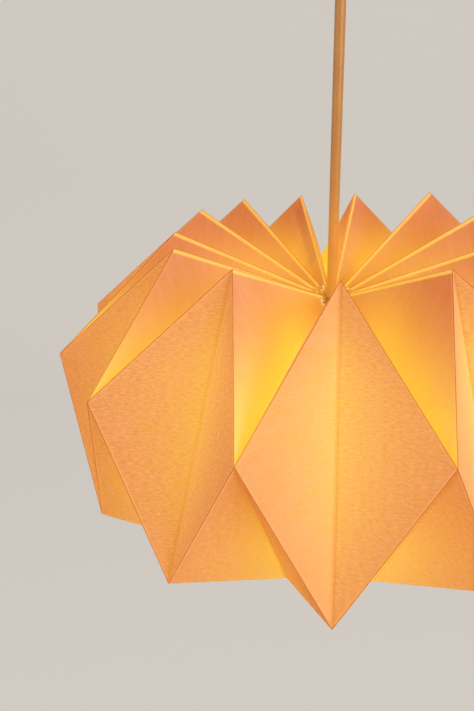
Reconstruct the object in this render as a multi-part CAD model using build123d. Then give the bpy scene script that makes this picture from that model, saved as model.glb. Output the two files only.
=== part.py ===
"""A hanging lamp: a pleated paper shade that sits on a lampholder at the end of a round cord.

Millimetres, +Z up. The ceiling is the plane z = 0 and the lamp hangs down the Z axis, so the
origin is the middle of the ceiling bracket's upper face. The front of the shade faces -Y.
"""
from build123d import *
import os
from math import cos, radians, sin, sqrt, tan

import numpy as np

# ---------------------------------------------------------------- paper shade
PLEATS = 12
PAPER_T = 0.5
BELLY_Z = -260.0        # height of the side corners, the widest ring of the shade
BELLY_R = 165.0
SHOULDER_R = 95.0       # top corners of the diamonds
SHOULDER_RISE = 66.0
TIP_R = 152.0           # bottom corners of the diamonds
TIP_DROP = 96.0
HEM_R = 83.0            # inner corners of the zigzag lower edge
HEM_DROP = 127.0
GATHER_R = 10.0         # ring of holes and folds drawn together round the cord
GATHER_RISE = 27.0
FRONT_TURN = 2.5        # degrees that the front pleat stands to the right of -Y
BUNCH = 12.0            # degrees that the pleats drift towards the back, where they lie closer
BUNCH_AT = 33.4         # direction in degrees of the widest pleats
THREAD_RING_R = 14.0
THREAD_R = 0.6
EYELET_R = 1.4
KNOT_R = 1.1
KNOT_ARC = 8.0          # degrees of the thread's ring that the knot takes up
TAPE_W = 9.0
TAPE_T = 0.2
GLUE_T = 0.05
TAPE_SET_IN = 1.0       # tape's edge from its fold
TAPE_RIDGE = (0.3, 0.94)        # where the tape starts and ends, as shares of its fold
TAPE_DIAMOND = (0.14, 0.86)
SEAM_PLEAT = PLEATS // 2
SAME_PLANE = 0.02       # panels at a corner that lean apart by less than this are one plane

# ---------------------------------------------------------------- clearances
SEAT = 0.3              # a soft piece above the piece that carries it
RUN = 0.1               # turning or screwed faces
FIT = 0.05              # a round piece in its hole, on the radius

# ---------------------------------------------------------------- cord and wires
CORD_R = 3.0
WIRE_R = 1.1
WIRE_PITCH = 10.0
WIRE_SPLAY = 1.3        # wires' distance from the axis where they leave the sheath
WIRE_LOOP_OUT = 19.0    # how far the wires swing forward inside the canopy
WIRE_PAST_SCREW = 1.5   # wire's end beyond the clamp screw's axis
SHEATH_ABOVE_GRIP = 5.0
SHEATH_BELOW_COLLAR = 2.0
BEND_LEN = 8.0          # stretch of cord below the canopy that bends when the lamp swings

# ---------------------------------------------------------------- ceiling end
STRAP_L = 92.0
STRAP_W = 18.0
STRAP_T = 2.0
STRAP_TAB_H = 14.0
CEILING_HOLE_R = 2.5
CEILING_HOLE_SPACING = 52.0
SIDE_SCREW_R = 2.0
SIDE_SCREW_DROP = 10.0
SIDE_HEAD_R = 3.8
SIDE_HEAD_T = 2.2
SIDE_SLOT_W = 0.8
SIDE_SLOT_DEPTH = 0.8
SIDE_SHANK_PROUD = 1.0  # screw's end beyond the inside of the tab
CANOPY_GAP = 2.0        # between the strap's tabs and the inside of the canopy
CANOPY_WALL = 2.0
CANOPY_H = 48.0
CANOPY_EDGE_R = 12.0
THREAD_M10_R = 5.0
GRIP_BARREL_R = 6.0
GRIP_BARREL_H = 14.0
GRIP_FLANGE_T = 2.0
GRIP_NUT_R = 8.5
GRIP_NUT_T = 4.0
GRIP_STUB_PROUD = 1.0   # stub's end above its nut
GRIP_CHAMFER = 1.0
GRUB_R = 1.5
GRUB_SINK = 0.4         # grub screw's end below the barrel's surface
GRUB_SLOT_W = 0.6
GRUB_SLOT_DEPTH = 0.7
BLOCK_L = 17.0
BLOCK_W = 22.0
BLOCK_H = 13.0
BLOCK_BACK = 4.0        # block's middle behind the lamp's axis
SLEEVE_R = 2.3
SLEEVE_BORE_R = 1.3
SLEEVE_INSET = 1.5      # sleeve's ends inside the block's faces
CLAMP_SCREW_R = 1.2
CLAMP_SCREW_OUT = 4.5   # clamp screws' distance from the block's middle
CLAMP_WELL_GAP = 0.5
CLAMP_SCREW_SINK = 0.5
BLOCK_SCREW_R = 1.4
BLOCK_HEAD_R = 2.3
BLOCK_HEAD_T = 1.6
BLOCK_SCREW_SINK = 0.2

# ---------------------------------------------------------------- lampholder
CARRIER_R = 30.0
CARRIER_T = 2.0
HOLDER_R = 20.0
HOLDER_WALL = 2.0
COLLAR_WALL = 3.0
COLLAR_H = 8.0
CAP_H = 34.0
SKIRT_H = 32.0
NECK_H = 7.0
NECK_WALL = 1.6
LIP_W = 3.5
LEDGE_T = 2.0
LEDGE_DROP = 5.0
DOME_R = 14.0
SHELL_FLOAT = 0.6       # between the screw shell and the skirt's ledge
CONTACT_T = 0.5
CONTACT_W = 5.0
CONTACT_ROOT = 10.0     # fixed end of the contact strip, from the axis
CONTACT_FOOT = 6.0      # stretch of it that lies on the insert
CONTACT_PAD = 4.0       # reach of its free end past the axis
INSERT_T = 10.0
FLANGE_R = 7.5
FLANGE_T = 3.0
HOLDER_BARREL_H = 4.2
POST_W = 5.0
POST_H = 6.0
POST_OUT = 9.0
POST_FLOOR = 1.0
POST_HEAD_R = 1.9
POST_HEAD_T = 1.2

# ---------------------------------------------------------------- bulb and its screw shell
BULB_CAP_R = 13.2
BULB_CAP_L = 20.0
SHELL_CLEAR = 0.4
SHELL_WALL = 0.4
SHELL_L = 23.0
THREAD_PITCH = 3.63
THREAD_DEPTH = 0.9
BULB_CAP_WALL = 0.6
CAP_PLAIN_TOP = 1.5     # cap above its first thread
CAP_PLAIN_ENDS = 4.0    # cap without a thread, both ends together
TIP_RADIUS = 4.5
TIP_T = 1.5
INSULATOR_L = 3.5
INSULATOR_RIM = 1.0     # black ring that shows round the tip
CONTACT_DROP = 4.0
GLOBE_R = 22.5
GLOBE_WALL = 1.2
HOUSING_L = 16.0
HOUSING_TOP_R = 14.2
HOUSING_LOW_R = 20.0
HOUSING_WALL = 1.5
HOUSING_NECK_H = 6.0
HOUSING_RIM_H = 3.0
BOARD_ABOVE_JOINT = 1.0
BOARD_T = 1.6
DRIVER_RISE = 4.0
DRIVER_GAP = 2.0
LED_COUNT = 8
LED_RING_R = 9.0
LED_SIZE = 3.0
LED_T = 0.9

# a hand-folded sheet strays from the regular pattern: these corners sit a little right (x) or up (z)
STRAYS = {
    ("shoulder", 10): (-2.5, -1.0),
    ("shoulder", 9): (0.0, -4.0),
    ("shoulder", 6): (3.0, -1.0),
    ("shoulder", 5): (-3.0, 0.0),
    ("shoulder", 4): (2.5, 5.5),
    ("shoulder", 3): (0.0, 3.5),
    ("belly", 11.5): (1.5, -1.2),
    ("belly", 10.5): (-0.5, 3.0),
    ("belly", 9.5): (-1.5, -4.0),
    ("tip", 0): (-1.2, -2.0),
    ("tip", 11): (-2.0, 1.2),
}


def fold_turn(index):
    """Direction in degrees of pleat number index; halves are the folds between two pleats."""
    even = 360.0 / PLEATS * index
    drift = sin(radians(even - BUNCH_AT)) + sin(radians(BUNCH_AT))
    return FRONT_TURN + even + BUNCH * drift


def ring_point(radius, rise, index):
    """A point of the paper, from its radius, its height above the belly and its pleat."""
    turn = radians(fold_turn(index))
    return (radius * sin(turn), -radius * cos(turn), BELLY_Z + rise)


def ridge_slope():
    return (SHOULDER_RISE - GATHER_RISE) / (SHOULDER_R - GATHER_R)


def apex_rise():
    """Height at which the ridges would meet on the axis; the valleys aim at the same point."""
    return GATHER_RISE - GATHER_R * ridge_slope()


def valley_rise(radius):
    return apex_rise() * (1 - radius / BELLY_R)


def paper_corners():
    """Outer corners of the folded sheet: name and half-pleat number to a point."""
    corners = {}
    for pleat in range(PLEATS):
        corners["gather", pleat] = ring_point(GATHER_R, GATHER_RISE, pleat)
        corners["shoulder", pleat] = ring_point(SHOULDER_R, SHOULDER_RISE, pleat)
        corners["tip", pleat] = ring_point(TIP_R, -TIP_DROP, pleat)
        fold = pleat + 0.5
        corners["pinch", fold] = ring_point(GATHER_R, valley_rise(GATHER_R), fold)
        corners["belly", fold] = ring_point(BELLY_R, 0, fold)
        corners["hem", fold] = ring_point(HEM_R, -HEM_DROP, fold)
    for name, (right, up) in STRAYS.items():
        if name in corners:
            x, y, z = corners[name]
            corners[name] = (x + right, y, z + up)
    return corners


def paper_panels():
    """Flat triangles of the folded sheet, each as three corner names."""
    panels = []
    for pleat in range(PLEATS):
        for fold in ((pleat - 0.5) % PLEATS, pleat + 0.5):
            gather, shoulder, tip = ("gather", pleat), ("shoulder", pleat), ("tip", pleat)
            pinch, belly, hem = ("pinch", fold), ("belly", fold), ("hem", fold)
            sides = [
                (gather, shoulder, belly),
                (gather, belly, pinch),
                (shoulder, tip, belly),
                (belly, tip, hem),
            ]
            if fold == pleat + 0.5:
                sides = [(a, c, b) for a, b, c in sides]
            panels += sides
    return panels


def paper_edge(inner_name, outer_name):
    """Zigzag of corner names once round the sheet, pleat, fold, pleat, fold."""
    edge = []
    for pleat in range(PLEATS):
        edge += [(inner_name, pleat), (outer_name, pleat + 0.5)]
    return edge


def panel_normal(a, b, c):
    normal = np.cross(np.subtract(b, a), np.subtract(c, a))
    return normal / np.linalg.norm(normal)


def paper_undersides(corners, panels):
    """Corners of the sheet's inner face, one paper thickness in from every panel they touch."""
    facing = {name: [] for name in corners}
    for panel in panels:
        normal = panel_normal(*[corners[name] for name in panel])
        if np.dot(normal, corners[panel[1]] - np.array([0, 0, BELLY_Z])) < 0:
            normal = -normal
        for name in panel:
            facing[name].append(normal)
    inner = {}
    for name, normals in facing.items():
        shift = np.linalg.lstsq(np.array(normals), np.full(len(normals), -PAPER_T), rcond=SAME_PLANE)[0]
        inner[name] = tuple(float(v) for v in np.add(corners[name], shift))
    return inner


def triangle(a, b, c):
    return Face(Wire.make_polygon([a, b, c], close=True))


def make_paper_shade():
    """The sheet as one thin closed solid, with an eyelet through every panel at the gather."""
    outer = paper_corners()
    panels = paper_panels()
    inner = paper_undersides(outer, panels)
    faces = [triangle(*[outer[name] for name in panel]) for panel in panels]
    faces += [triangle(*[inner[name] for name in panel]) for panel in panels]
    for edge in (paper_edge("gather", "pinch"), paper_edge("tip", "hem")):
        for here, there in zip(edge, edge[1:] + edge[:1]):
            faces.append(triangle(outer[here], outer[there], inner[there]))
            faces.append(triangle(outer[here], inner[there], inner[here]))
    sheet = Solid(Shell(faces))
    eyelets = Pos(0, 0, thread_height()) * Torus(THREAD_RING_R, EYELET_R)
    return sheet - eyelets


def thread_height():
    ridge = apex_rise() + THREAD_RING_R * ridge_slope()
    return BELLY_Z + (ridge + valley_rise(THREAD_RING_R)) / 2 - PAPER_T


def make_gather_thread():
    """The thread through the eyelets, with a small barrel knot under the rearmost ridge."""
    section = Plane.XZ * Pos(THREAD_RING_R, 0)
    ring = revolve(section * Circle(THREAD_R), axis=Axis.Z, revolution_arc=360 - KNOT_ARC)
    knot = revolve(section * Circle(KNOT_R), axis=Axis.Z, revolution_arc=-KNOT_ARC)
    start = fold_turn(SEAM_PLEAT) - 90 + KNOT_ARC / 2
    return Pos(0, 0, thread_height()) * Rot(0, 0, start) * (ring + knot)


def valley_underside(radius):
    """Height of the lowest paper over a radius, along the folds between the pleats."""
    outer = paper_corners()
    inner = paper_undersides(outer, paper_panels())
    heights = []
    for pleat in range(PLEATS):
        near = inner["pinch", pleat + 0.5]
        far = inner["belly", pleat + 0.5]
        near_r = sqrt(near[0] ** 2 + near[1] ** 2)
        far_r = sqrt(far[0] ** 2 + far[1] ** 2)
        share = (radius - near_r) / (far_r - near_r)
        heights.append(near[2] + share * (far[2] - near[2]))
    return min(heights)


def turned(outline):
    """A solid of revolution about Z from an outline in radius and height."""
    return revolve(Plane.XZ * make_face(outline), axis=Axis.Z)


def tube(radius, bore, low, high):
    """A straight tube on the Z axis, or a rod where bore is 0."""
    body = Pos(0, 0, (low + high) / 2) * Cylinder(radius, high - low)
    if bore:
        body -= Pos(0, 0, (low + high) / 2) * Cylinder(bore, high - low)
    return body


def rod_along_x(radius, start, end, height):
    return Pos((start + end) / 2, 0, height) * Rot(0, 90, 0) * Cylinder(radius, end - start)


def rod_along_y(radius, start, end, across, height):
    return Pos(across, (start + end) / 2, height) * Rot(90, 0, 0) * Cylinder(radius, end - start)


def box_between(low, high):
    """A box from two opposite corners."""
    size = [b - a for a, b in zip(low, high)]
    middle = [(a + b) / 2 for a, b in zip(low, high)]
    return Pos(*middle) * Box(*size)


def gentle_radii(points):
    """Bend radii for a wire's route, each as large as its two runs allow."""
    radii = []
    for before, here, after in zip(points, points[1:], points[2:]):
        arriving, leaving = Vector(*here) - Vector(*before), Vector(*after) - Vector(*here)
        turn = radians(arriving.get_angle(leaving))
        radii.append(0.45 * min(arriving.length, leaving.length) / tan(turn / 2))
    return radii


def wire_along(points):
    """A wire of straight runs joined by tangent bends."""
    radii = gentle_radii(points)
    route = FilletPolyline(*points, radius=radii)
    start = Plane(origin=route @ 0, z_dir=route % 0)
    wire = sweep(start * Circle(WIRE_R), path=route)
    print("wire bends", [round(r, 1) for r in radii], "volume ratio",
          round(wire.volume / (np.pi * WIRE_R**2 * route.length), 3))
    return wire


# ---------------------------------------------------------------- heights, from the top down
CANOPY_FLOOR = -CANOPY_H + CANOPY_WALL
GRIP_STUB_TOP = CANOPY_FLOOR + GRIP_NUT_T + GRIP_STUB_PROUD
SHEATH_TOP = GRIP_STUB_TOP + SHEATH_ABOVE_GRIP
GRIP_LOW = -CANOPY_H - GRIP_FLANGE_T - GRIP_BARREL_H
BEND_LOW = GRIP_LOW - BEND_LEN
BLOCK_TOP = -STRAP_T
BLOCK_LOW = BLOCK_TOP - BLOCK_H
SLEEVE_Z = (BLOCK_TOP + BLOCK_LOW) / 2
CARRIER_TOP = valley_underside(CARRIER_R) - SEAT
CARRIER_LOW = CARRIER_TOP - CARRIER_T
FLANGE_LOW = CARRIER_TOP + RUN
HOLDER_GRIP_TOP = FLANGE_LOW + FLANGE_T + HOLDER_BARREL_H
CAP_TOP = CARRIER_LOW - RUN
CAP_LOW = CAP_TOP - CAP_H
SHEATH_LOW = CAP_TOP - COLLAR_H - HOLDER_WALL - SHEATH_BELOW_COLLAR
INSERT_LOW = CAP_LOW - LEDGE_DROP
INSERT_TOP = INSERT_LOW + INSERT_T
SKIRT_LOW = CAP_LOW - SKIRT_H
CONTACT_LOW = INSERT_LOW - CONTACT_DROP
TIP_TOP = CONTACT_LOW - RUN
INSULATOR_TOP = TIP_TOP - TIP_T
BULB_CAP_TOP = INSULATOR_TOP - INSULATOR_L
BULB_CAP_LOW = BULB_CAP_TOP - BULB_CAP_L
HOUSING_LOW = BULB_CAP_LOW - HOUSING_L
GLOBE_Z = HOUSING_LOW - sqrt(GLOBE_R**2 - HOUSING_LOW_R**2)
BOARD_LOW = HOUSING_LOW + BOARD_ABOVE_JOINT

NECK_R = HOLDER_R - HOLDER_WALL - RUN
NECK_BORE_R = NECK_R - NECK_WALL
SHELL_BORE_R = BULB_CAP_R + SHELL_CLEAR
SHELL_R = SHELL_BORE_R + SHELL_WALL


# ---------------------------------------------------------------- ceiling end
def make_ceiling_bracket():
    """A flat strap against the ceiling with a tab bent down at each end."""
    half = STRAP_L / 2
    strap = box_between((-half, -STRAP_W / 2, -STRAP_T), (half, STRAP_W / 2, 0))
    for side in (-1, 1):
        ends = sorted((side * half, side * (half - STRAP_T)))
        tab_low = -STRAP_T - STRAP_TAB_H
        strap += box_between((ends[0], -STRAP_W / 2, tab_low), (ends[1], STRAP_W / 2, -STRAP_T))
        strap -= Pos(side * CEILING_HOLE_SPACING / 2, 0, -STRAP_T / 2) * Cylinder(
            CEILING_HOLE_R, STRAP_T)
    strap -= rod_along_x(SIDE_SCREW_R + FIT, -half, half, -SIDE_SCREW_DROP)
    return strap - Pos(0, BLOCK_BACK, 0) * tube(BLOCK_SCREW_R + FIT, 0, -STRAP_T, 0)


def canopy_radius():
    return STRAP_L / 2 + CANOPY_GAP + CANOPY_WALL


def make_canopy():
    """The round cup that hides the bracket and the terminal block."""
    outer_r = canopy_radius()
    inner_r = outer_r - CANOPY_WALL
    hole_r = THREAD_M10_R + FIT
    centre = (outer_r - CANOPY_EDGE_R, -CANOPY_H + CANOPY_EDGE_R)
    inner_edge_r = CANOPY_EDGE_R - CANOPY_WALL
    outline = Line((outer_r, 0), (outer_r, centre[1]))
    outline += CenterArc(centre, CANOPY_EDGE_R, 0, -90)
    outline += Polyline((centre[0], -CANOPY_H), (hole_r, -CANOPY_H), (hole_r, CANOPY_FLOOR),
                        (centre[0], CANOPY_FLOOR))
    outline += CenterArc(centre, inner_edge_r, -90, 90)
    outline += Polyline((inner_r, centre[1]), (inner_r, 0), (outer_r, 0))
    cup = turned(outline)
    return cup - rod_along_x(SIDE_SCREW_R + FIT, -outer_r, outer_r, -SIDE_SCREW_DROP)


def make_canopy_screws():
    """Two side screws that hold the canopy to the strap's tabs."""
    outer_r = canopy_radius()
    seat_x = outer_r + FIT
    shank_end = STRAP_L / 2 - STRAP_T - SIDE_SHANK_PROUD
    screws = []
    for side in (-1, 1):
        shank = rod_along_x(SIDE_SCREW_R, shank_end, seat_x, -SIDE_SCREW_DROP)
        head = rod_along_x(SIDE_HEAD_R, seat_x, seat_x + SIDE_HEAD_T, -SIDE_SCREW_DROP)
        slot = Pos(seat_x + SIDE_HEAD_T, 0, -SIDE_SCREW_DROP) * Box(
            2 * SIDE_SLOT_DEPTH, SIDE_SLOT_W, 2 * SIDE_HEAD_R)
        screw = shank + head - slot
        screws.append(screw if side > 0 else Rot(0, 0, 180) * screw)
    return Compound(screws)


def clamp_screw_spots():
    """Where the block's four clamp screws stand: side of the block, then distance along it."""
    sides = (-WIRE_PITCH / 2, WIRE_PITCH / 2)
    return [(side, along) for side in sides for along in (-CLAMP_SCREW_OUT, CLAMP_SCREW_OUT)]


def make_terminal_block():
    block = box_between((-BLOCK_W / 2, -BLOCK_L / 2, BLOCK_LOW), (BLOCK_W / 2, BLOCK_L / 2, BLOCK_TOP))
    for across in (-WIRE_PITCH / 2, WIRE_PITCH / 2):
        block -= rod_along_y(SLEEVE_R + FIT, -BLOCK_L / 2, BLOCK_L / 2, across, SLEEVE_Z)
    for across, along in clamp_screw_spots():
        block -= Pos(across, along, 0) * tube(CLAMP_SCREW_R + CLAMP_WELL_GAP, 0, BLOCK_LOW, SLEEVE_Z)
    block -= tube(BLOCK_SCREW_R + FIT, 0, BLOCK_LOW, BLOCK_TOP)
    block -= tube(BLOCK_HEAD_R + FIT, 0, BLOCK_LOW, BLOCK_LOW + BLOCK_HEAD_T)
    return Pos(0, BLOCK_BACK, 0) * block


def make_terminal_sleeves():
    """Brass tubes in the block, one for each conductor, with their clamp holes."""
    ends = BLOCK_L / 2 - SLEEVE_INSET
    sleeves = []
    for across in (-WIRE_PITCH / 2, WIRE_PITCH / 2):
        sleeve = rod_along_y(SLEEVE_R, -ends, ends, across, SLEEVE_Z)
        sleeve -= rod_along_y(SLEEVE_BORE_R, -ends, ends, across, SLEEVE_Z)
        for side, along in clamp_screw_spots():
            if side == across:
                hole = tube(CLAMP_SCREW_R + FIT, 0, SLEEVE_Z - SLEEVE_R, SLEEVE_Z)
                sleeve -= Pos(side, along, 0) * hole
        sleeves.append(Pos(0, BLOCK_BACK, 0) * sleeve)
    return Compound(sleeves)


def make_terminal_screws():
    screws = []
    for across, along in clamp_screw_spots():
        screw = tube(CLAMP_SCREW_R, 0, BLOCK_LOW + CLAMP_SCREW_SINK, SLEEVE_Z - WIRE_R - FIT)
        screws.append(Pos(across, BLOCK_BACK + along, 0) * screw)
    return Compound(screws)


def make_block_screw():
    """The screw that holds the terminal block up against the strap."""
    shank = tube(BLOCK_SCREW_R, 0, BLOCK_LOW + BLOCK_HEAD_T, -BLOCK_SCREW_SINK)
    head = tube(BLOCK_HEAD_R, 0, BLOCK_LOW + BLOCK_SCREW_SINK, BLOCK_LOW + BLOCK_HEAD_T)
    return Pos(0, BLOCK_BACK, 0) * (shank + head)


def grub_hole(side_r, height):
    """The sideways threaded hole in a cord grip."""
    return rod_along_x(GRUB_R + FIT, 0, side_r, height)


def make_grub_screw(side_r, height):
    """A headless screw that presses on the cord from one side."""
    end = side_r - GRUB_SINK
    screw = rod_along_x(GRUB_R, CORD_R + FIT, end, height)
    return screw - Pos(end, 0, height) * Box(2 * GRUB_SLOT_DEPTH, GRUB_SLOT_W, 2 * GRUB_R)


def canopy_grub_z():
    return GRIP_LOW + GRIP_BARREL_H / 2


def make_canopy_grip():
    """The cord grip under the canopy: stub up through the hole, flange, barrel below."""
    grip = tube(THREAD_M10_R, 0, -CANOPY_H, GRIP_STUB_TOP)
    grip += tube(GRIP_NUT_R, 0, -CANOPY_H - GRIP_FLANGE_T, -CANOPY_H)
    barrel = tube(GRIP_BARREL_R, 0, GRIP_LOW, -CANOPY_H - GRIP_FLANGE_T)
    grip += chamfer(barrel.faces().sort_by(Axis.Z)[0].edges(), GRIP_CHAMFER)
    grip -= tube(CORD_R + FIT, 0, GRIP_LOW, GRIP_STUB_TOP)
    return grip - grub_hole(GRIP_BARREL_R, canopy_grub_z())


def make_canopy_grip_nut():
    nut = Pos(0, 0, CANOPY_FLOOR) * extrude(RegularPolygon(GRIP_NUT_R, 6), GRIP_NUT_T)
    return nut - tube(THREAD_M10_R + FIT, 0, CANOPY_FLOOR, CANOPY_FLOOR + GRIP_NUT_T)


def canopy_wire_route(side):
    """Up from the end of the sheath, forward in a loop and back into the block."""
    pole = side * WIRE_PITCH / 2
    start = side * WIRE_SPLAY
    rise = SLEEVE_Z - SHEATH_TOP
    end_y = BLOCK_BACK - CLAMP_SCREW_OUT + WIRE_PAST_SCREW
    return [
        (start, 0, SHEATH_TOP),
        (start, 0, SHEATH_TOP + 0.15 * rise),
        ((start + pole) / 2, -0.58 * WIRE_LOOP_OUT, SHEATH_TOP + 0.33 * rise),
        (pole, -WIRE_LOOP_OUT, SHEATH_TOP + 0.7 * rise),
        (pole, -0.9 * WIRE_LOOP_OUT, SLEEVE_Z),
        (pole, end_y, SLEEVE_Z),
    ]


def make_canopy_wires():
    return Compound([wire_along(canopy_wire_route(side)) for side in (-1, 1)])


# ---------------------------------------------------------------- lampholder
def make_shade_carrier():
    """The flat ring that the paper's folds rest on."""
    ring = tube(CARRIER_R, THREAD_M10_R + FIT, CARRIER_LOW, CARRIER_TOP)
    return fillet(ring.faces().sort_by(Axis.Z)[-1].edges().sort_by(SortBy.RADIUS)[-1], CARRIER_T / 3)


def make_holder_grip():
    """The lampholder's cord grip, whose stub screws down into the cap's collar."""
    grip = tube(THREAD_M10_R, 0, CAP_TOP - COLLAR_H, FLANGE_LOW)
    grip += tube(FLANGE_R, 0, FLANGE_LOW, FLANGE_LOW + FLANGE_T)
    grip += tube(GRIP_BARREL_R, 0, FLANGE_LOW + FLANGE_T, HOLDER_GRIP_TOP)
    grip -= tube(CORD_R + FIT, 0, CAP_TOP - COLLAR_H, HOLDER_GRIP_TOP)
    return grip - grub_hole(GRIP_BARREL_R, holder_grub_z())


def holder_grub_z():
    return FLANGE_LOW + FLANGE_T + HOLDER_BARREL_H / 2


def make_holder_cap():
    """The domed upper half of the lampholder, with a threaded collar on top."""
    collar_r = THREAD_M10_R + COLLAR_WALL
    bore_r = THREAD_M10_R + FIT
    centre = (HOLDER_R - DOME_R, CAP_TOP - COLLAR_H - DOME_R)
    inner_dome_r = DOME_R - HOLDER_WALL
    lean = np.degrees(np.arccos((collar_r - centre[0]) / DOME_R))
    meet_z = centre[1] + DOME_R * sin(radians(lean))
    inner_r = HOLDER_R - HOLDER_WALL
    inner_top = centre[1] + inner_dome_r
    outline = Polyline((bore_r, inner_top), (bore_r, CAP_TOP), (collar_r, CAP_TOP), (collar_r, meet_z))
    outline += CenterArc(centre, DOME_R, lean, -lean)
    outline += Polyline((HOLDER_R, centre[1]), (HOLDER_R, CAP_LOW), (inner_r, CAP_LOW), (inner_r, centre[1]))
    outline += CenterArc(centre, inner_dome_r, 0, 90)
    outline += Line((centre[0], inner_top), (bore_r, inner_top))
    return turned(outline)


def make_holder_skirt():
    """The lower half of the lampholder: neck inside the cap, ledge for the insert, open mouth."""
    shoulder = CAP_LOW - RUN
    neck_top = CAP_LOW + NECK_H
    bore_r = SHELL_R + SHELL_FLOAT
    inner_r = HOLDER_R - HOLDER_WALL
    outline = Polyline(
        (NECK_R, neck_top), (NECK_R, shoulder), (HOLDER_R, shoulder), (HOLDER_R, SKIRT_LOW),
        (HOLDER_R - LIP_W, SKIRT_LOW), (HOLDER_R - LIP_W, SKIRT_LOW + HOLDER_WALL),
        (inner_r, SKIRT_LOW + HOLDER_WALL), (inner_r, INSERT_LOW - LEDGE_T), (bore_r, INSERT_LOW - LEDGE_T),
        (bore_r, INSERT_LOW), (NECK_BORE_R, INSERT_LOW), (NECK_BORE_R, neck_top), close=True)
    skirt = turned(outline)
    rim = skirt.faces().sort_by(Axis.Z)[0].edges().sort_by(SortBy.RADIUS)[-1]
    return fillet(rim, HOLDER_WALL / 2)


def make_socket_insert():
    """The ceramic disc that carries the contacts."""
    return tube(NECK_BORE_R - RUN, 0, INSERT_LOW, INSERT_TOP)


def make_screw_shell():
    return tube(SHELL_R, SHELL_BORE_R, INSERT_LOW - SHELL_L, INSERT_LOW)


def make_centre_contact():
    """A springy strip that runs down from the insert to the middle of the bulb's end."""
    t = CONTACT_T
    root, bend, flat, end = -CONTACT_ROOT, CONTACT_FOOT - CONTACT_ROOT, CONTACT_PAD / 2, CONTACT_PAD
    upper = [(root, INSERT_LOW), (bend, INSERT_LOW), (flat, CONTACT_LOW + t), (end, CONTACT_LOW + t)]
    lower = [(end, CONTACT_LOW), (flat - 0.4 * t, CONTACT_LOW),
             (bend - 0.4 * t, INSERT_LOW - t), (root, INSERT_LOW - t)]
    strip = make_face(Polyline(*upper, *lower, close=True))
    return extrude(Plane.XZ * strip, CONTACT_W / 2, both=True)


def make_holder_posts():
    """Two brass terminal posts on the insert, each with a wire hole and a clamp screw's hole."""
    posts = []
    for side in (-1, 1):
        x = side * POST_OUT
        half = POST_W / 2
        post = box_between((x - half, -half, INSERT_TOP), (x + half, half, INSERT_TOP + POST_H))
        post -= Pos(x, 0, 0) * tube(
            WIRE_R + FIT, 0, INSERT_TOP + POST_FLOOR, INSERT_TOP + POST_H)
        post -= rod_along_y(CLAMP_SCREW_R + FIT, -half, 0, x, INSERT_TOP + POST_H / 2)
        posts.append(post)
    return Compound(posts)


def make_holder_post_screws():
    screws = []
    for side in (-1, 1):
        height = INSERT_TOP + POST_H / 2
        face = -POST_W / 2
        screw = rod_along_y(CLAMP_SCREW_R, face, -WIRE_R - FIT, side * POST_OUT, height)
        screw += rod_along_y(POST_HEAD_R, face - POST_HEAD_T, face, side * POST_OUT, height)
        screws.append(screw)
    return Compound(screws)


def make_holder_wires():
    """The conductors from the end of the sheath down into the two posts."""
    wires = []
    for side in (-1, 1):
        start, end = side * WIRE_SPLAY, side * POST_OUT
        post_top = INSERT_TOP + POST_H
        drop = SHEATH_LOW - post_top
        wires.append(wire_along([
            (start, 0, SHEATH_LOW),
            (start, 0, SHEATH_LOW - 0.3 * drop),
            (end, 0, SHEATH_LOW - 0.75 * drop),
            (end, 0, post_top - POST_H / 2),
        ]))
    return Compound(wires)


# ---------------------------------------------------------------- bulb
def make_bulb_tip():
    return tube(TIP_RADIUS, 0, INSULATOR_TOP, TIP_TOP)


def make_bulb_insulator():
    """The black glass ring between the tip and the cap."""
    return Pos(0, 0, (INSULATOR_TOP + BULB_CAP_TOP) / 2) * Cone(
        BULB_CAP_R - 2 * THREAD_DEPTH, TIP_RADIUS + INSULATOR_RIM, INSULATOR_L)


def make_bulb_cap():
    """The thin metal screw cap, with rounded rings that stand for its rolled thread."""
    crest, root = BULB_CAP_R, BULB_CAP_R - THREAD_DEPTH
    bore_r = root - BULB_CAP_WALL
    rings = int((BULB_CAP_L - CAP_PLAIN_ENDS) / THREAD_PITCH)
    wave = [(root, BULB_CAP_TOP)]
    for ring in range(rings):
        top = BULB_CAP_TOP - CAP_PLAIN_TOP - ring * THREAD_PITCH
        wave += [(root, top), (crest, top - THREAD_PITCH / 3), (crest, top - 2 * THREAD_PITCH / 3)]
    wave += [(root, top - THREAD_PITCH), (root, BULB_CAP_LOW)]
    outline = Polyline(*wave, (bore_r, BULB_CAP_LOW), (bore_r, BULB_CAP_TOP), close=True)
    return turned(outline)


def make_bulb_housing():
    """The flared plastic body under the cap, open inside for the driver."""
    neck_r = BULB_CAP_R - THREAD_DEPTH - BULB_CAP_WALL - RUN
    neck_top = BULB_CAP_LOW + HOUSING_NECK_H
    wall = HOUSING_WALL
    rim_top = HOUSING_LOW + HOUSING_RIM_H
    outline = Polyline(
        (neck_r, neck_top), (neck_r, BULB_CAP_LOW), (HOUSING_TOP_R, BULB_CAP_LOW),
        (HOUSING_LOW_R, rim_top), (HOUSING_LOW_R, HOUSING_LOW),
        (HOUSING_LOW_R - wall, HOUSING_LOW), (HOUSING_LOW_R - wall, rim_top),
        (HOUSING_TOP_R - 2 * wall, BULB_CAP_LOW - wall), (neck_r - wall, BULB_CAP_LOW - wall),
        (neck_r - wall, neck_top), close=True)
    return turned(outline)


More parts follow.
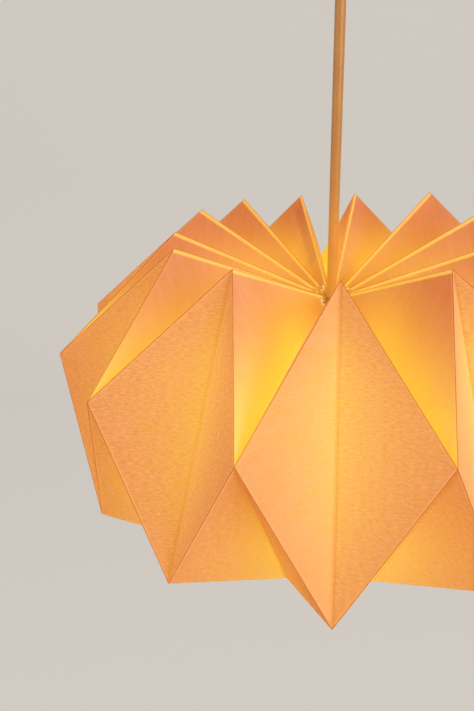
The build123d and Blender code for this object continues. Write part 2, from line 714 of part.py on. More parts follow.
def make_bulb_globe():
    """The frosted globe, an open sphere whose rim meets the housing."""
    inner_r = GLOBE_R - GLOBE_WALL
    rise = HOUSING_LOW - GLOBE_Z
    outer_lean = np.degrees(np.arcsin(rise / GLOBE_R))
    inner_lean = np.degrees(np.arcsin(rise / inner_r))
    outline = CenterArc((0, GLOBE_Z), GLOBE_R, -90, 90 + outer_lean)
    outline += Line((GLOBE_R * cos(radians(outer_lean)), HOUSING_LOW),
                    (inner_r * cos(radians(inner_lean)), HOUSING_LOW))
    outline += CenterArc((0, GLOBE_Z), inner_r, inner_lean, -90 - inner_lean)
    outline += Line((0, GLOBE_Z - inner_r), (0, GLOBE_Z - GLOBE_R))
    return turned(outline)


def make_led_board():
    """The round board whose rim sits on a ledge of the housing."""
    board_r = HOUSING_LOW_R - HOUSING_WALL - RUN
    return tube(board_r, 0, BOARD_LOW, BOARD_LOW + BOARD_T)


def make_leds():
    leds = []
    for count in range(LED_COUNT):
        turn = Rot(0, 0, 360 / LED_COUNT * count)
        leds.append(turn * Pos(LED_RING_R, 0, BOARD_LOW - LED_T / 2) * Box(LED_SIZE, LED_SIZE, LED_T))
    return Compound(leds)


def make_driver_board():
    """The small upright board inside the bulb's housing and cap."""
    half = BULB_CAP_R - THREAD_DEPTH - BULB_CAP_WALL - 2 * HOUSING_WALL - DRIVER_GAP
    low = BOARD_LOW + BOARD_T
    return box_between((-half, -BOARD_T / 2, low), (half, BOARD_T / 2, BULB_CAP_LOW + DRIVER_RISE))


def make_seam_tape():
    """Two flat strips of tape inside the shade, along the ridge and crease where the sheet closes."""
    outer = paper_corners()
    inner = paper_undersides(outer, paper_panels())
    gather, shoulder = inner["gather", SEAM_PLEAT], inner["shoulder", SEAM_PLEAT]
    tip, belly = inner["tip", SEAM_PLEAT], inner["belly", SEAM_PLEAT + 0.5]
    return Compound([
        tape_strip(gather, shoulder, belly, *TAPE_RIDGE),
        tape_strip(shoulder, tip, belly, *TAPE_DIAMOND),
    ])


def tape_strip(start, end, beside, first, last):
    """A strip on the inner face of one panel, along its edge from start to end."""
    start, end, beside = np.array(start), np.array(end), np.array(beside)
    along = (end - start) / np.linalg.norm(end - start)
    across = beside - start - np.dot(beside - start, along) * along
    across /= np.linalg.norm(across)
    inward = np.cross(along, across)
    if np.dot(inward, np.array([0, 0, BELLY_Z]) - start) < 0:
        inward = -inward
    length = np.linalg.norm(end - start)
    low = start + first * length * along + GLUE_T * inward + TAPE_SET_IN * across
    corners = [low, low + (last - first) * length * along]
    corners += [corners[1] + TAPE_W * across, low + TAPE_W * across]
    strip = Face(Wire.make_polygon([tuple(c) for c in corners], close=True))
    return extrude(strip, TAPE_T, dir=Vector(*inward))


# ---------------------------------------------------------------- every piece by name
PIECES = {
    "ceiling_bracket": make_ceiling_bracket,
    "canopy": make_canopy,
    "canopy_screws": make_canopy_screws,
    "terminal_block": make_terminal_block,
    "terminal_sleeves": make_terminal_sleeves,
    "terminal_screws": make_terminal_screws,
    "terminal_block_screw": make_block_screw,
    "canopy_grip": make_canopy_grip,
    "canopy_grip_nut": make_canopy_grip_nut,
    "canopy_grip_screw": lambda: make_grub_screw(GRIP_BARREL_R, canopy_grub_z()),
    "canopy_wires": make_canopy_wires,
    "cord_in_canopy": lambda: tube(CORD_R, 0, GRIP_LOW, SHEATH_TOP),
    "cord_bend": lambda: tube(CORD_R, 0, BEND_LOW, GRIP_LOW),
    "cord": lambda: tube(CORD_R, 0, SHEATH_LOW, BEND_LOW),
    "shade_carrier": make_shade_carrier,
    "holder_grip": make_holder_grip,
    "holder_grip_screw": lambda: make_grub_screw(GRIP_BARREL_R, holder_grub_z()),
    "holder_cap": make_holder_cap,
    "holder_skirt": make_holder_skirt,
    "holder_wires": make_holder_wires,
    "holder_posts": make_holder_posts,
    "holder_post_screws": make_holder_post_screws,
    "socket_insert": make_socket_insert,
    "screw_shell": make_screw_shell,
    "centre_contact": make_centre_contact,
    "bulb_tip": make_bulb_tip,
    "bulb_insulator": make_bulb_insulator,
    "bulb_cap": make_bulb_cap,
    "bulb_housing": make_bulb_housing,
    "bulb_globe": make_bulb_globe,
    "led_board": make_led_board,
    "leds": make_leds,
    "driver_board": make_driver_board,
    "paper_shade": make_paper_shade,
    "gather_thread": make_gather_thread,
    "seam_tape": make_seam_tape,
}


def main():
    os.makedirs("parts", exist_ok=True)
    for name, make in PIECES.items():
        piece = make()
        piece.label = name
        export_step(piece, f"parts/{name}.step")


main()
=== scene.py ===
"""A hanging lamp with a pleated paper shade, lit from inside: looks, camera and light."""
from math import cos, pi, radians, sin

import bmesh
import bpy
import numpy as np
from mathutils import Matrix, Vector


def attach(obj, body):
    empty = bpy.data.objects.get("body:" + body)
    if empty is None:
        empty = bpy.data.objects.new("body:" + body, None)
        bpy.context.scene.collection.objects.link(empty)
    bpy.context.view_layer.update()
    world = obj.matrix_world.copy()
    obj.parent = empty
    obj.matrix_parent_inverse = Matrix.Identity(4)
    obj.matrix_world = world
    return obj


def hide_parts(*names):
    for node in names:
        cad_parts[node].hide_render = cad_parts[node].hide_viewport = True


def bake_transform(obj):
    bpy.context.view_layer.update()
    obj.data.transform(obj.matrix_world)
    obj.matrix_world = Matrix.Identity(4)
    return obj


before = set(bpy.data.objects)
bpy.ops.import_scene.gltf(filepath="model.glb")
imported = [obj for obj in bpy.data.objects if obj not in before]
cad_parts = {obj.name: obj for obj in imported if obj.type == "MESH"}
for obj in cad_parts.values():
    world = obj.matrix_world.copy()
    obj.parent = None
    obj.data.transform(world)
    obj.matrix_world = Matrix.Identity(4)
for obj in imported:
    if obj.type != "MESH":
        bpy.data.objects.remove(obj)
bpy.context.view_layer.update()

# ---------------------------------------------------------------- sizes, in metres
PLEATS = 12
BELLY_Z = -0.260
BELLY_R = 0.165
SHOULDER_R, SHOULDER_RISE = 0.095, 0.066
TIP_R, TIP_DROP = 0.152, 0.096
HEM_R, HEM_DROP = 0.083, 0.127
GATHER_R, GATHER_RISE = 0.010, 0.027
FRONT_TURN, BUNCH, BUNCH_AT = 2.5, 12.0, 33.4
THREAD_RING_R, THREAD_Z = 0.014, -0.2358
CORD_R = 0.003
CORD_TOP, CORD_PIVOT, CORD_LOW = -0.036, -0.068, -0.2575
GLOBE_Z, GLOBE_R = -0.3399, 0.0225
GLOW_Z = -0.300         # where the light in the shade seems to come from
GLOW_NEAR = 0.13        # distance at which the bulb lights the paper at full strength
VALLEY_FALL = 0.0224    # how far a valley drops from the axis out to the belly
SHEET_PITCH = 0.086     # width of one pleat on the unfolded sheet
SHEET_DOWN = {"gather": 0, "pinch": 0, "shoulder": 0.093, "belly": 0.172, "tip": 0.265, "hem": 0.325}
SHEET_STEPS = 14        # rows of small faces in each panel
CAMERA_SENSOR = 36.0    # millimetres

# ---------------------------------------------------------------- camera
VIEW_W, VIEW_H = 474, 711
FOCAL_PX = 792.0
CAMERA_AT = (0.0, -0.459, -0.072)
YAW, PITCH, ROLL = radians(-7.3), radians(24.0), radians(-1.2)


def make_camera():
    forward = Vector((sin(YAW) * cos(PITCH), cos(YAW) * cos(PITCH), -sin(PITCH)))
    level = Vector((cos(YAW), -sin(YAW), 0))
    upright = level.cross(forward)
    right = cos(ROLL) * level + sin(ROLL) * upright
    up = -sin(ROLL) * level + cos(ROLL) * upright
    data = bpy.data.cameras.new("camera")
    data.sensor_width = CAMERA_SENSOR
    data.lens = FOCAL_PX * data.sensor_width / VIEW_H
    data.clip_start = 0.01
    camera = bpy.data.objects.new("camera", data)
    turn = Matrix((right, up, -forward)).transposed().to_4x4()
    camera.matrix_world = Matrix.Translation(CAMERA_AT) @ turn
    bpy.context.scene.collection.objects.link(camera)
    bpy.context.scene.camera = camera


# ---------------------------------------------------------------- node helpers
class Nodes:
    """Builds one material, a node at a time."""

    def __init__(self, name):
        self.material = bpy.data.materials.new(name)
        self.material.use_nodes = True
        self.tree = self.material.node_tree
        self.tree.nodes.clear()

    def add(self, kind, *links, **values):
        node = self.tree.nodes.new("ShaderNode" + kind)
        for name, value in values.items():
            setattr(node, name, value)
        for socket, source in links:
            self.put(node, socket, source)
        return node

    def put(self, node, socket, source):
        target = node.inputs[socket]
        if isinstance(source, bpy.types.NodeSocket):
            self.tree.links.new(source, target)
        else:
            target.default_value = source

    def math(self, operation, *values, clamp=False):
        node = self.add("Math", operation=operation, use_clamp=clamp)
        for index, value in enumerate(values):
            self.put(node, index, value)
        return node.outputs[0]

    def noise(self, vector, scale, detail=3.0, rough=0.5):
        node = self.add("TexNoise", ("Vector", vector), ("Scale", scale), ("Detail", detail),
                        ("Roughness", rough))
        return node.outputs["Fac"]

    def stretch(self, vector, scale):
        return self.add("Mapping", ("Vector", vector), ("Scale", scale)).outputs[0]

    def remap(self, value, low, high, to_low, to_high, smooth=False):
        node = self.add("MapRange", ("Value", value), ("From Min", low), ("From Max", high),
                        ("To Min", to_low), ("To Max", to_high))
        if smooth:
            node.interpolation_type = "SMOOTHSTEP"
        return node.outputs[0]

    def mix_colour(self, share, first, second, blend="MIX"):
        node = self.add("Mix", data_type="RGBA", blend_type=blend)
        self.put(node, 0, share)
        self.put(node, 6, first)
        self.put(node, 7, second)
        return node.outputs[2]

    def bump(self, height, distance, strength=1.0, normal=None):
        node = self.add("Bump", ("Height", height), ("Distance", distance), ("Strength", strength))
        if normal is not None:
            self.put(node, "Normal", normal)
        return node.outputs[0]

    def finish(self, shader):
        self.add("OutputMaterial", ("Surface", shader))
        return self.material


def srgb(red, green, blue):
    """A colour from 0-255 screen values."""
    def line(v):
        v /= 255
        return v / 12.92 if v <= 0.04045 else ((v + 0.055) / 1.055) ** 2.4
    return (line(red), line(green), line(blue), 1.0)


# ---------------------------------------------------------------- materials
def bulb_reach(n, part):
    """How strongly the bulb seems to light the paper, from 0 to 1, for painted glow and colour, and where
    the eyelets leak light, painted as bright spots.
    """
    place = n.add("TexCoord").outputs["Object"]
    normal = n.add("VectorTransform", (0, n.add("NewGeometry").outputs["True Normal"]),
                   vector_type="NORMAL", convert_from="WORLD", convert_to="OBJECT").outputs[0]
    away = n.add("VectorMath", (0, place), (1, (0.0, 0.0, GLOW_Z)), operation="SUBTRACT").outputs[0]
    distance = n.add("VectorMath", (0, away), operation="LENGTH").outputs["Value"]
    heading = n.add("VectorMath", (0, away), operation="NORMALIZE").outputs[0]
    facing = n.add("VectorMath", (0, heading), (1, normal), operation="DOT_PRODUCT")
    square_on = n.math("MULTIPLY_ADD", n.math("ABSOLUTE", facing.outputs["Value"]), 0.65, 0.35)
    falloff = n.math("POWER", n.math("DIVIDE", GLOW_NEAR, distance), 2.0)
    flat_place = n.add("VectorMath", (0, place), (1, (1.0, 1.0, 0.0)), operation="MULTIPLY").outputs[0]
    radius = n.add("VectorMath", (0, flat_place), operation="LENGTH").outputs["Value"]
    valley = n.math("MULTIPLY_ADD", radius, -VALLEY_FALL / BELLY_R, BELLY_Z + VALLEY_FALL)
    height = n.add("SeparateXYZ", (0, place)).outputs[2]
    rise = n.math("SUBTRACT", height, valley)
    # painted shade on the walls: darker up towards their ridges and near the axis, where the lampholder's
    # shadow falls; rear panels darker towards the axis
    wall = n.math("MULTIPLY", n.remap(rise, 0.0, 0.052, 1.0, 0.1, smooth=True),
                  n.remap(radius, 0.016, 0.075, 0.45, 1.0, smooth=True))
    rear = n.add("Attribute", attribute_name="panel_rear").outputs["Fac"]
    behind = n.remap(radius, 0.03, 0.09, 1.0, 0.55, smooth=True)
    wall = n.add("Mix", (0, rear), (2, wall), (3, behind)).outputs[0]
    # painted light on the diamonds by facing and nearness to the bulb, dimmer higher up; on the skirt by
    # nearness alone
    diamond = n.math("MULTIPLY", n.math("MULTIPLY", square_on, falloff),
                     n.remap(rise, 0.01, 0.06, 0.78, 0.5, smooth=True))
    skirt = n.math("MULTIPLY_ADD", falloff, 1.0, -0.27)
    glow = n.add("Mix", (0, n.math("GREATER_THAN", part, 0.5)), (2, wall), (3, diamond)).outputs[0]
    glow = n.add("Mix", (0, n.math("GREATER_THAN", part, 1.5)), (2, glow), (3, skirt)).outputs[0]
    # painted light: bright spots on the thread's ring, where the eyelets let the bulb's light through
    ring = n.math("SQRT", n.math("ADD", n.math("POWER", n.math("SUBTRACT", radius, THREAD_RING_R), 2.0),
                                 n.math("POWER", n.math("SUBTRACT", height, THREAD_Z), 2.0)))
    eyelet = n.remap(ring, 0.0013, 0.0019, 1.0, 0.0, smooth=True)
    return n.math("ADD", glow, 0.0, clamp=True), eyelet


def paper_material():
    """Fibrous paper that lets the bulb's light through, with painted glow and colour brighter where it is
    nearer the bulb, and painted light and shade on some panels and beside the folds.
    """
    n = Nodes("paper")
    uv = n.add("UVMap", uv_map="sheet").outputs[0]
    gap = n.add("SeparateXYZ", (0, n.add("Attribute", attribute_name="fold_gap").outputs["Vector"]))
    kind = n.add("SeparateXYZ", (0, n.add("Attribute", attribute_name="fold_kind").outputs["Vector"]))
    cloud = n.noise(n.stretch(uv, (1.0, 1.8, 1.0)), 90.0, 4.0, 0.6)
    fibre = n.noise(n.stretch(uv, (1.0, 3.2, 1.0)), 420.0, 5.0, 0.7)
    speck = n.noise(uv, 1100.0, 2.0)
    # painted light (pale) and painted shade (dark) on single panels; pale panels also get softer fibres
    tone = n.add("Attribute", attribute_name="panel_light_shade").outputs["Fac"]
    pale = n.math("MAXIMUM", tone, 0.0)
    dark = n.math("MAXIMUM", n.math("MULTIPLY", tone, -1.0), 0.0)
    # beside each mountain fold a painted highlight, beside each valley fold painted shade, both also
    # raised or sunk by bump; ridge marks a band beside each top ridge for painted glow; line is the darker
    # fold line itself
    line, fold_highlight_and_bump, valley_shade_and_bump, ridge = 0.0, 0.0, 0.0, 0.0
    for axis in range(3):
        near = n.remap(gap.outputs[axis], 0.0002, 0.0007, 1.0, 0.0, smooth=True)
        beside = n.remap(gap.outputs[axis], 0.0007, 0.0018, 1.0, 0.0, smooth=True)
        mountain = n.math("GREATER_THAN", kind.outputs[axis], 0.5)
        valley = n.math("LESS_THAN", kind.outputs[axis], -0.5)
        line = n.math("MAXIMUM", line, n.math("MULTIPLY", near, mountain))
        fold_highlight_and_bump = n.math("MAXIMUM", fold_highlight_and_bump, n.math("MULTIPLY", beside, mountain))
        valley_shade_and_bump = n.math("MAXIMUM", valley_shade_and_bump, n.math("MULTIPLY", beside, valley))
        ridge_glow_band = n.remap(gap.outputs[axis], 0.0018, 0.0032, 1.0, 0.0, smooth=True)
        top_ridge = n.math("GREATER_THAN", kind.outputs[axis], 1.5)
        ridge = n.math("MAXIMUM", ridge, n.math("MULTIPLY", ridge_glow_band, top_ridge))
    part = n.add("Attribute", attribute_name="panel_part").outputs["Fac"]
    glow, eyelet = bulb_reach(n, part)
    glow = n.math("MULTIPLY", glow, n.remap(cloud, 0.3, 0.7, 0.9, 1.1))
    # painted shade: less glow on the darker panels
    glow = n.math("MULTIPLY", glow, n.math("MULTIPLY_ADD", dark, -0.45, 1.0))
    # painted light: glow in the band beside each top ridge
    glow = n.math("MAXIMUM", glow, n.math("MULTIPLY", ridge, 0.8))
    smooth_wall = n.remap(part, 0.2, 0.8, 0.4, 1.0)
    soft = n.math("MULTIPLY", n.math("MULTIPLY_ADD", pale, -0.6, 1.15), smooth_wall)
    fibre = n.math("ADD", 0.5, n.math("MULTIPLY", n.math("SUBTRACT", fibre, 0.5), soft))
    thin = n.remap(fibre, 0.3, 0.7, 0.76, 1.24)
    # painted light in the base colour: paler and yellower where the glow is stronger
    base = n.mix_colour(glow, srgb(204, 150, 124), srgb(204, 190, 152))
    # painted light and painted shade on single panels, in the base colour
    base = n.mix_colour(n.math("MULTIPLY", pale, 0.5), base, srgb(240, 212, 164))
    base = n.mix_colour(n.math("MULTIPLY", dark, 0.6), base, srgb(176, 112, 80))
    base = n.mix_colour(n.remap(cloud, 0.35, 0.65, 0.0, 1.0), base, (0.9, 0.86, 0.8, 1.0), "MULTIPLY")
    base = n.mix_colour(n.remap(fibre, 0.28, 0.48, 1.0, 0.0), base, (0.86, 0.78, 0.7, 1.0), "MULTIPLY")
    base = n.mix_colour(n.remap(fibre, 0.52, 0.72, 0.0, 0.4), base, srgb(240, 220, 176))
    # painted highlight beside mountain folds, painted shade beside valley folds, then the darker fold line
    base = n.mix_colour(n.math("MULTIPLY", fold_highlight_and_bump, 0.4), base, srgb(240, 206, 158))
    base = n.mix_colour(n.math("MULTIPLY", valley_shade_and_bump, 0.3), base, srgb(176, 112, 62))
    base = n.mix_colour(n.math("MULTIPLY", line, 0.75), base, srgb(140, 76, 40))
    glow = n.math("MULTIPLY", glow, n.remap(line, 0.0, 1.0, 1.0, 0.5))
    height = n.math("ADD", n.math("MULTIPLY", fibre, 0.6), n.math("MULTIPLY", speck, 0.4))
    normal = n.bump(height, 0.00012, 0.8)
    normal = n.bump(n.math("SUBTRACT", fold_highlight_and_bump, valley_shade_and_bump), 0.0003, 0.5, normal)
    front = n.add("BsdfDiffuse", ("Color", base), ("Normal", normal), ("Roughness", 0.6))
    through = n.mix_colour(0.5, base, srgb(255, 184, 80))
    back = n.add("BsdfTranslucent", ("Color", through), ("Normal", normal))
    sheet = n.add("MixShader", (0, 0.42), (1, front.outputs[0]), (2, back.outputs[0]))
    # painted glow: the bulb's light through the paper, as emission, stronger where the fibres are thinner
    painted_glow = n.add("Emission", ("Color", n.mix_colour(glow, srgb(226, 98, 16), srgb(232, 204, 36))),
                 ("Strength", n.math("MULTIPLY", n.remap(glow, 0.0, 1.0, 0.2, 0.62), thin)))
    # the eyelets' painted light
    eyelet_light = n.add("Emission", ("Color", srgb(255, 226, 140)), ("Strength", 1.0))
    lit = n.add("AddShader", (0, sheet.outputs[0]), (1, painted_glow.outputs[0]))
    with_eyelet_light = n.add("MixShader", (0, eyelet), (1, lit.outputs[0]), (2, eyelet_light.outputs[0]))
    return n.finish(with_eyelet_light.outputs[0])


def principled(name, colour, roughness, metallic=0.0, grain=400.0, depth=0.00004, tone=0.08,
               glow=None, coat=0.0, squeeze=(1.0, 1.0, 1.0), lit_below=None):
    """A solid material with a fine grain, slight colour change and faint bump.

    glow is a colour and a strength; lit_below is painted light, a glow colour and the heights that it
    fades between, strongest at the lower one.
    """
    n = Nodes(name)
    place = n.add("TexCoord").outputs["Object"]
    fine = n.noise(n.stretch(place, squeeze), grain, 4.0, 0.6)
    broad = n.noise(place, 45.0, 2.0)
    darker = tuple(c * (1 - 2 * tone) for c in colour[:3]) + (1.0,)
    tint = n.mix_colour(n.remap(n.math("ADD", fine, broad), 0.7, 1.3, 0.0, 1.0), darker, colour)
    shader = n.add("BsdfPrincipled", ("Base Color", tint), ("Metallic", metallic),
                   ("Roughness", n.remap(fine, 0.3, 0.7, roughness * 0.85, min(roughness * 1.15, 1.0))),
                   ("Normal", n.bump(fine, depth)), ("Coat Weight", coat))
    if glow:
        n.put(shader, "Emission Color", glow[0])
        n.put(shader, "Emission Strength", glow[1])
    # painted light: a glow that fades out upwards, as if lit from below
    if lit_below:
        height = n.add("SeparateXYZ", (0, place)).outputs[2]
        colour_below, low, high = lit_below
        n.put(shader, "Emission Color", colour_below)
        n.put(shader, "Emission Strength", n.remap(height, low, high, 0.3, 0.02, smooth=True))
    return n.finish(shader.outputs[0])


def make_materials():
    lengthwise = (1.0, 1.0, 0.12)
    return {
        "paper": paper_material(),
        # the cord has painted light near the shade, as if the shade lit it from below
        "cord": principled("cord", srgb(196, 134, 60), 0.36, grain=700.0, depth=0.00003, coat=0.15,
                           lit_below=(srgb(255, 170, 50), -0.235, -0.150)),
        "wire": principled("wire", srgb(120, 84, 56), 0.45),
        "canopy": principled("canopy", srgb(236, 230, 216), 0.42, grain=900.0, depth=0.00002, coat=0.2),
        "brass": principled("brass", srgb(214, 178, 104), 0.3, 1.0, squeeze=lengthwise),
        "zinc": principled("zinc", srgb(196, 196, 194), 0.34, 1.0, squeeze=lengthwise),
        "plastic": principled("plastic", srgb(236, 232, 222), 0.5, grain=1200.0, depth=0.00002, tone=0.03),
        "ceramic": principled("ceramic", srgb(238, 234, 224), 0.55, grain=600.0, tone=0.04),
        "black": principled("black", srgb(28, 27, 30), 0.2, tone=0.1, coat=0.5),
        "bulb_metal": principled("bulb_metal", srgb(210, 210, 208), 0.28, 1.0),
        "globe": principled("globe", srgb(255, 238, 206), 0.5, grain=1500.0, depth=0.00001, tone=0.02,
                            glow=(srgb(255, 214, 150), 0.9)),
        "led": principled("led", srgb(240, 205, 80), 0.4, tone=0.05),
        "board": principled("board", srgb(52, 104, 66), 0.4, tone=0.2),
        "thread": principled("thread", srgb(226, 176, 108), 0.8, grain=2500.0, depth=0.0001, tone=0.15),
        "tape": principled("tape", srgb(244, 205, 146), 0.45, grain=500.0, tone=0.05),
    }


NODE_MATERIALS = {
    "canopy": ["canopy"],
    "brass": ["canopy_grip", "canopy_grip_nut", "canopy_screws", "holder_grip", "holder_posts",
              "screw_shell", "centre_contact", "terminal_sleeves"],
    "zinc": ["ceiling_bracket", "canopy_grip_screw", "holder_grip_screw", "holder_post_screws",
             "terminal_screws", "terminal_block_screw", "bulb_tip"],
    "plastic": ["terminal_block", "shade_carrier", "holder_cap", "holder_skirt", "bulb_housing"],
    "ceramic": ["socket_insert"],
    "black": ["bulb_insulator"],
    "bulb_metal": ["bulb_cap", "led_board"],
    "globe": ["bulb_globe"],
    "led": ["leds"],
    "board": ["driver_board"],
    "wire": ["canopy_wires", "holder_wires"],
    "thread": ["gather_thread"],
    "tape": ["seam_tape"],
}


def dress_nodes(materials):
    for key, nodes in NODE_MATERIALS.items():
        for node in nodes:
            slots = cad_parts[node].data.materials
            slots.clear()
            slots.append(materials[key])


# ---------------------------------------------------------------- folded paper
def fold_turn(index):
    even = 360.0 / PLEATS * index
    drift = sin(radians(even - BUNCH_AT)) + sin(radians(BUNCH_AT))
    return radians(FRONT_TURN + even + BUNCH * drift)


def ring_point(radius, rise, index):
    turn = fold_turn(index)
    return np.array((radius * sin(turn), -radius * cos(turn), BELLY_Z + rise))


# a hand-folded sheet strays from the regular pattern: some corners sit a little right (x) or up (z)
STRAYS = {
    ("shoulder", 10): (-0.0025, -0.0010),
    ("shoulder", 9): (0.0, -0.0040),
    ("shoulder", 6): (0.0030, -0.0010),
    ("shoulder", 5): (-0.0030, 0.0),
    ("shoulder", 4): (0.0025, 0.0055),
    ("shoulder", 3): (0.0, 0.0035),
    ("belly", 11.5): (0.0015, -0.0012),
    ("belly", 10.5): (-0.0005, 0.0030),
    ("belly", 9.5): (-0.0015, -0.0040),
    ("tip", 0): (-0.0012, -0.0020),
    ("tip", 11): (-0.0020, 0.0012),
}


def sheet_corners():
    """Each fold's end: its place, and where it lies on the unfolded sheet."""
    apex = GATHER_RISE - GATHER_R * (SHOULDER_RISE - GATHER_RISE) / (SHOULDER_R - GATHER_R)
    pinch_rise = apex * (1 - GATHER_R / BELLY_R)
    place, flat = {}, {}
    for pleat in range(PLEATS):
        fold = pleat + 0.5
        place["gather", pleat] = ring_point(GATHER_R, GATHER_RISE, pleat)
        place["shoulder", pleat] = ring_point(SHOULDER_R, SHOULDER_RISE, pleat)
        place["tip", pleat] = ring_point(TIP_R, -TIP_DROP, pleat)
        place["pinch", fold] = ring_point(GATHER_R, pinch_rise, fold)
        place["belly", fold] = ring_point(BELLY_R, 0, fold)
        place["hem", fold] = ring_point(HEM_R, -HEM_DROP, fold)
    for name, (right, up) in STRAYS.items():
        place[name] = place[name] + np.array((right, 0.0, up))
    for (name, index) in place:
        flat[name, index] = np.array((SHEET_PITCH * index, SHEET_DOWN[name]))
    return place, flat


def sheet_panels():
    """Flat panels: three corners, and for each the kind of the fold opposite it."""
    ridge, mountain, valley, rim = 2.0, 1.0, -1.0, 0.0
    panels = []
    for pleat in range(PLEATS):
        for side in (-0.5, 0.5):
            fold = (pleat + side) % PLEATS
            gather, shoulder, tip = ("gather", pleat), ("shoulder", pleat), ("tip", pleat)
            pinch, belly, hem = ("pinch", fold), ("belly", fold), ("hem", fold)
            group = [
                ((gather, shoulder, belly), (mountain, rim, ridge)),
                ((gather, belly, pinch), (valley, rim, rim)),
                ((shoulder, tip, belly), (mountain, mountain, valley)),
                ((belly, tip, hem), (rim, valley, mountain)),
            ]
            for corners, kinds in group:
                if side > 0:
                    a, b, c = corners
                    ka, kb, kc = kinds
                    corners, kinds = (a, c, b), (ka, kc, kb)
                panels.append((corners, kinds, side, pleat))
    return panels


# painted light (above 0) and painted shade (below 0): panels painted paler or darker than the rest, as
# light falls on them: pleat, side, part
WALL, DIAMOND, SKIRT = 0, 1, 2
PANEL_LIGHT_SHADE = {
    (0, -0.5, DIAMOND): 0.8,
    (0, 0.5, DIAMOND): 0.1,
    (11, 0.5, DIAMOND): -0.25,
    (10, -0.5, DIAMOND): 0.1,
    (10, 0.5, WALL): 0.8,
    (1, -0.5, DIAMOND): 0.7,
    (11, 0.5, WALL): 0.9,
    (1, -0.5, WALL): -0.15,
    (9, -0.5, WALL): 0.5,
    (8, -0.5, WALL): 0.2,
    (7, -0.5, WALL): -0.7,
    (6, -0.5, WALL): -0.1,
    (5, 0.5, WALL): 0.3,
    (4, 0.5, WALL): 0.7,
    (0, -0.5, SKIRT): -1.0,
    (11, 0.5, SKIRT): -0.3,
    (0, 0.5, SKIRT): -0.3,
    (1, -0.5, SKIRT): -0.4,
}


def bow(name_set):
    """How far a panel's middle stands out of its plane."""
    if "tip" in name_set and "shoulder" in name_set:
        return 0.0011
    if "hem" in name_set:
        return 0.0016
    return -0.0009


def make_paper(material):
    """The whole sheet as one mesh, each panel cut into small faces and bowed a little."""
    steps = SHEET_STEPS
    place, flat = sheet_corners()
    mesh = bmesh.new()
    uv = mesh.loops.layers.uv.new("sheet")
    gaps = mesh.loops.layers.float_vector.new("fold_gap")
    kinds_layer = mesh.faces.layers.float_vector.new("fold_kind")
    part_layer = mesh.faces.layers.float.new("panel_part")
    rear_layer = mesh.faces.layers.float.new("panel_rear")
    light_shade_layer = mesh.faces.layers.float.new("panel_light_shade")
    known = {}
    for corners, kinds, side, pleat in sheet_panels():
        spots = [place[name] for name in corners]
        sheet = []
        for name in corners:
            spot = flat[name].copy()
            if name[1] - pleat > PLEATS / 2:
                spot[0] -= SHEET_PITCH * PLEATS
            sheet.append(spot)
        normal = np.cross(spots[1] - spots[0], spots[2] - spots[0])
        area = np.linalg.norm(normal)
        normal /= area
        heights = [area / np.linalg.norm(spots[(k + 1) % 3] - spots[(k + 2) % 3]) for k in range(3)]
        names = {name for name, _ in corners}
        out = bow(names)
        part = SKIRT if "hem" in names else DIAMOND if "tip" in names else WALL
        outward = normal if normal[2] > 0 else -normal
        rear = min(max(outward[1] * 4 - 0.4, 0.0), 1.0)
        grid = {}
        for i in range(steps + 1):
            for j in range(steps + 1 - i):
                share = np.array((steps - i - j, i, j)) / steps
                spot = sum(s * p for s, p in zip(share, spots))
                crown = 27 * share[0] * share[1] * share[2]
                spot = spot + normal * out * crown
                key = tuple(np.round(spot, 6))
                if key not in known:
                    known[key] = mesh.verts.new(spot)
                grid[i, j] = (known[key], share)
        for i in range(steps):
            for j in range(steps - i):
                cells = [((i, j), (i + 1, j), (i, j + 1))]
                if i + j < steps - 1:
                    cells.append(((i + 1, j), (i + 1, j + 1), (i, j + 1)))
                for cell in cells:
                    face = mesh.faces.new([grid[c][0] for c in cell])
                    face.smooth = True
                    face[kinds_layer] = kinds
                    face[part_layer] = part
                    face[rear_layer] = rear
                    # each panel's painted light or painted shade
                    face[light_shade_layer] = PANEL_LIGHT_SHADE.get((pleat, side, part), 0.0)
                    for loop, c in zip(face.loops, cell):
                        share = grid[c][1]
                        loop[gaps] = [share[k] * heights[k] for k in range(3)]
                        loop[uv].uv = sum(s * f for s, f in zip(share, sheet))
    bmesh.ops.recalc_face_normals(mesh, faces=mesh.faces)
    data = bpy.data.meshes.new("paper")
    mesh.to_mesh(data)
    mesh.free()
    data.set_sharp_from_angle(angle=radians(12))
    piece = bpy.data.objects.new("paper_sheet", data)
    bpy.context.scene.collection.objects.link(piece)
    data.materials.append(material)
    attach(piece, "shade")
    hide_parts("paper_shade")
    return piece


# ---------------------------------------------------------------- cord
def make_tube(name, top, low, material, sides=24, step=0.002):
    """A round tube down the axis, closed at both ends."""
    rings = max(2, int(round((top - low) / step)))
    mesh = bmesh.new()
    rows = []
    for ring in range(rings + 1):
        z = top + (low - top) * ring / rings
        turns = [2 * pi * k / sides for k in range(sides)]
        rows.append([mesh.verts.new((CORD_R * cos(turn), CORD_R * sin(turn), z)) for turn in turns])
    for upper, lower in zip(rows, rows[1:]):
        for k in range(sides):
            nxt = (k + 1) % sides
            mesh.faces.new((upper[k], lower[k], lower[nxt], upper[nxt])).smooth = True
    mesh.faces.new(rows[0])
    mesh.faces.new(rows[-1][::-1])
    bmesh.ops.recalc_face_normals(mesh, faces=mesh.faces)
    data = bpy.data.meshes.new(name)
    mesh.to_mesh(data)
    mesh.free()
    data.materials.append(material)
    piece = bpy.data.objects.new(name, data)
    bpy.context.scene.collection.objects.link(piece)
    return piece


def make_cord(material):
    upper = make_tube("cord_at_ceiling", CORD_TOP, CORD_PIVOT, material)
    lower = make_tube("cord_to_holder", CORD_PIVOT, CORD_LOW, material)
    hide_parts("cord_in_canopy", "cord_bend")
    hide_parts("cord")
    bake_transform(upper)
    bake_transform(lower)


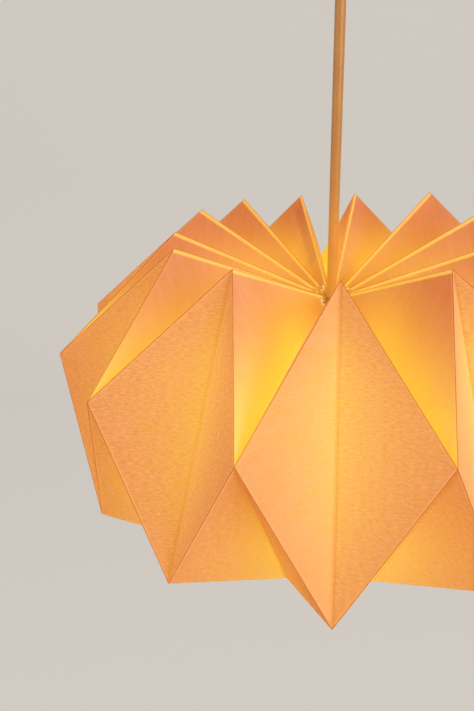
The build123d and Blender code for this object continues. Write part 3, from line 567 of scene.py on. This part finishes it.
# ---------------------------------------------------------------- stage and light
def stage_material(name, colour):
    n = Nodes(name)
    path = n.add("LightPath")
    seen = n.math("MAXIMUM", path.outputs["Is Camera Ray"], path.outputs["Is Glossy Ray"])
    seen = n.math("MAXIMUM", seen, path.outputs["Is Transmission Ray"])
    lit = n.add("BsdfDiffuse", ("Color", colour))
    pale = n.add("Emission", ("Color", colour), ("Strength", 1.0))
    share = n.math("MULTIPLY", seen, 0.55)
    return n.finish(n.add("MixShader", (0, share), (1, lit.outputs[0]), (2, pale.outputs[0])).outputs[0])


def make_stage():
    floor_z, far, wide, bend = -1.6, 2.4, 5.0, 0.8
    mesh = bmesh.new()
    profile = [(-4.0, floor_z)]
    for step in range(13):
        lean = pi / 2 * step / 12
        profile.append((far + bend * sin(lean), floor_z + bend * (1 - cos(lean))))
    profile.append((far + bend, 3.0))
    rows = [[mesh.verts.new((x, y, z)) for x in (-wide, wide)] for y, z in profile]
    for here, there in zip(rows, rows[1:]):
        mesh.faces.new((here[0], here[1], there[1], there[0])).smooth = True
    data = bpy.data.meshes.new("floor")
    mesh.to_mesh(data)
    mesh.free()
    data.materials.append(stage_material("floor", srgb(226, 220, 212)))
    floor = bpy.data.objects.new("floor", data)
    bpy.context.scene.collection.objects.link(floor)


def area_light(name, place, target, size, power, colour):
    data = bpy.data.lights.new(name, "AREA")
    data.shape = "DISK"
    data.size = size
    data.energy = power
    data.color = colour
    lamp = bpy.data.objects.new(name, data)
    lamp.location = place
    lamp.rotation_euler = (Vector(target) - Vector(place)).to_track_quat("-Z", "Y").to_euler()
    bpy.context.scene.collection.objects.link(lamp)


def make_lights():
    middle = (0, 0, -0.25)
    area_light("key", (1.3, -1.3, 0.3), middle, 1.4, 20.0, (1.0, 0.97, 0.95))
    area_light("fill", (-1.5, -0.9, 0.0), middle, 1.6, 5.0, (1.0, 0.98, 0.97))
    data = bpy.data.lights.new("bulb_light", "POINT")
    data.energy = 3.0
    data.color = (1.0, 0.78, 0.5)
    data.shadow_soft_size = GLOBE_R + 0.0015
    bulb = bpy.data.objects.new("bulb_light", data)
    bulb.location = (0, 0, GLOBE_Z)
    bulb.visible_camera = False
    bpy.context.scene.collection.objects.link(bulb)
    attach(bulb, "bulb")
    world = bpy.data.worlds.new("world")
    world.use_nodes = True
    world.node_tree.nodes["Background"].inputs[0].default_value = (1.0, 1.0, 1.0, 1.0)
    world.node_tree.nodes["Background"].inputs[1].default_value = 0.55
    bpy.context.scene.world = world


make_camera()
looks = make_materials()
dress_nodes(looks)
make_cord(looks["cord"])
make_paper(looks["paper"])
make_stage()
make_lights()
bpy.context.scene.view_settings.view_transform = "Standard"
